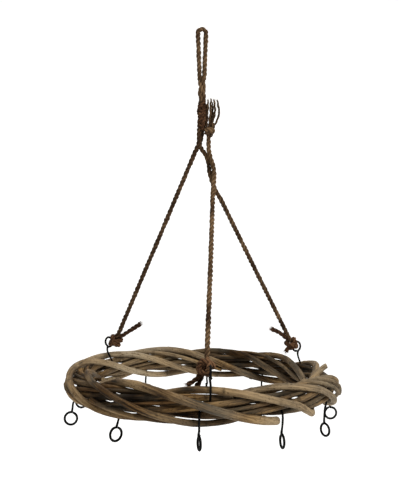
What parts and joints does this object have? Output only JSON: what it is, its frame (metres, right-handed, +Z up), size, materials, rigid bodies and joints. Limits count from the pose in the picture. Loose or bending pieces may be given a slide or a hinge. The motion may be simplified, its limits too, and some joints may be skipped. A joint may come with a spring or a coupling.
{
  "type": "hanging ring rack",
  "caption": "Ring of woven willow rods hung level from one knotted rope sling, with black wire eyes below it that carry what hangs from the rack.",
  "frame": {"origin": "inside of the rope loop's crown, where a ceiling hook bears", "axes": "+Z up, +X to the right, -Y the front, where the third leg and its knot are"},
  "size_m": [0.5016, 0.4995, 0.7276],
  "materials": {
    "willow_brown": "rough bark",
    "willow_grey": "rough weathered bark",
    "willow_dark": "rough bark",
    "rope": "rough twisted hemp",
    "knots": "rough twisted hemp",
    "wire": "dull black"
  },
  "bodies": {
    "hanging_loop": {"hanging_loop": "rope"},
    "neck_upper": {"neck_upper": "rope"},
    "neck_lower": {"neck_lower": "rope"},
    "rack": {"main_knot": "knots", "second_knot": "rope", "frayed_yarns": "rope", "leg_left": "rope", "leg_right": "rope", "leg_front": "rope", "eye_knot_left": "knots", "eye_knot_right": "knots", "eye_knot_front": "knots", "tail_left": "rope", "tail_right": "rope", "tail_stub_right": "rope", "tail_front": "rope", "core_hoop": "willow_dark", "inner_weaver_1": "willow_brown", "inner_weaver_2": "willow_brown", "inner_weaver_3": "willow_brown", "inner_weaver_4": "willow_brown", "outer_weaver_1": "willow_grey", "outer_weaver_2": "willow_grey", "outer_weaver_3": "willow_grey", "outer_weaver_4": "willow_grey", "filler_1": "willow_dark", "filler_2": "willow_dark", "filler_3": "willow_dark", "filler_4": "willow_dark", "filler_5": "willow_dark", "filler_6": "willow_dark", "filler_7": "willow_dark", "filler_8": "willow_dark", "filler_9": "willow_dark", "filler_10": "willow_dark", "free_rod_end": "willow_grey", "binder_1": "willow_brown", "binder_2": "willow_brown", "binder_3": "willow_brown", "binder_4": "willow_brown", "binder_5": "willow_brown", "binder_6": "willow_brown", "binder_7": "willow_brown", "upper_eye_left": "wire", "upper_eye_right": "wire", "upper_eye_front": "wire"},
    "hook_1": {"hook_1": "wire"},
    "hook_2": {"hook_2": "wire"},
    "hook_3": {"hook_3": "wire"},
    "hook_4": {"hook_4": "wire"},
    "hook_5": {"hook_5": "wire"},
    "hook_6": {"hook_6": "wire"},
    "hook_7": {"hook_7": "wire"},
    "hook_8": {"hook_8": "wire"},
    "hook_9": {"hook_9": "wire"},
    "hook_10": {"hook_10": "wire"}
  },
  "joints": [
    {"name": "sway_side", "type": "hinge", "parent": "hanging_loop", "child": "neck_upper", "pos_m": [0, 0, -0.088], "axis": [0, 1, 0], "range_deg": [-15, 15]},
    {"name": "sway_front", "type": "hinge", "parent": "neck_upper", "child": "neck_lower", "pos_m": [0, 0, -0.112], "axis": [1, 0, 0], "range_deg": [-15, 15]},
    {"name": "spin", "type": "hinge", "parent": "neck_lower", "child": "rack", "pos_m": [0, 0, -0.13], "axis": [0, 0, 1], "range_deg": [-90, 90]},
    {"name": "hook_1_swing", "type": "hinge", "parent": "rack", "child": "hook_1", "pos_m": [-0.00384, -0.21997, -0.63691], "axis": [0.9996, -0.0175, -0.0227], "range_deg": [-12, 0]},
    {"name": "hook_2_swing", "type": "hinge", "parent": "rack", "child": "hook_2", "pos_m": [0.11979, -0.18451, -0.63972], "axis": [0.8385, 0.5446, -0.019], "range_deg": [-12, 0]},
    {"name": "hook_3_swing", "type": "hinge", "parent": "rack", "child": "hook_3", "pos_m": [0.20668, -0.07524, -0.64169], "axis": [0.3419, 0.9397, -0.0078], "range_deg": [-4, 0]},
    {"name": "hook_4_swing", "type": "hinge", "parent": "rack", "child": "hook_4", "pos_m": [0.21874, 0.023, -0.64196], "axis": [-0.1045, 0.9945, 0.0024], "range_deg": [-12, 0]},
    {"name": "hook_5_swing", "type": "hinge", "parent": "rack", "child": "hook_5", "pos_m": [0.12299, 0.18239, -0.63979], "axis": [-0.8288, 0.5592, 0.0188], "range_deg": [-12, 0]},
    {"name": "hook_6_swing", "type": "hinge", "parent": "rack", "child": "hook_6", "pos_m": [0.01151, 0.2197, -0.63726], "axis": [-0.9984, 0.0523, 0.0227], "range_deg": [-10, 6]},
    {"name": "hook_7_swing", "type": "hinge", "parent": "rack", "child": "hook_7", "pos_m": [-0.11655, 0.18657, -0.63436], "axis": [-0.8478, -0.5299, 0.0192], "range_deg": [-10, 6]},
    {"name": "hook_8_swing", "type": "hinge", "parent": "rack", "child": "hook_8", "pos_m": [-0.21341, 0.05322, -0.63216], "axis": [-0.2419, -0.9703, 0.0055], "range_deg": [-3, 0]},
    {"name": "hook_9_swing", "type": "hinge", "parent": "rack", "child": "hook_9", "pos_m": [-0.21245, -0.05694, -0.63218], "axis": [0.2588, -0.9659, -0.0059], "range_deg": [-7, 0]},
    {"name": "hook_10_swing", "type": "hinge", "parent": "rack", "child": "hook_10", "pos_m": [-0.13541, -0.17336, -0.63393], "axis": [0.7878, -0.6157, -0.0179], "range_deg": [-10, 10]}
  ]
}
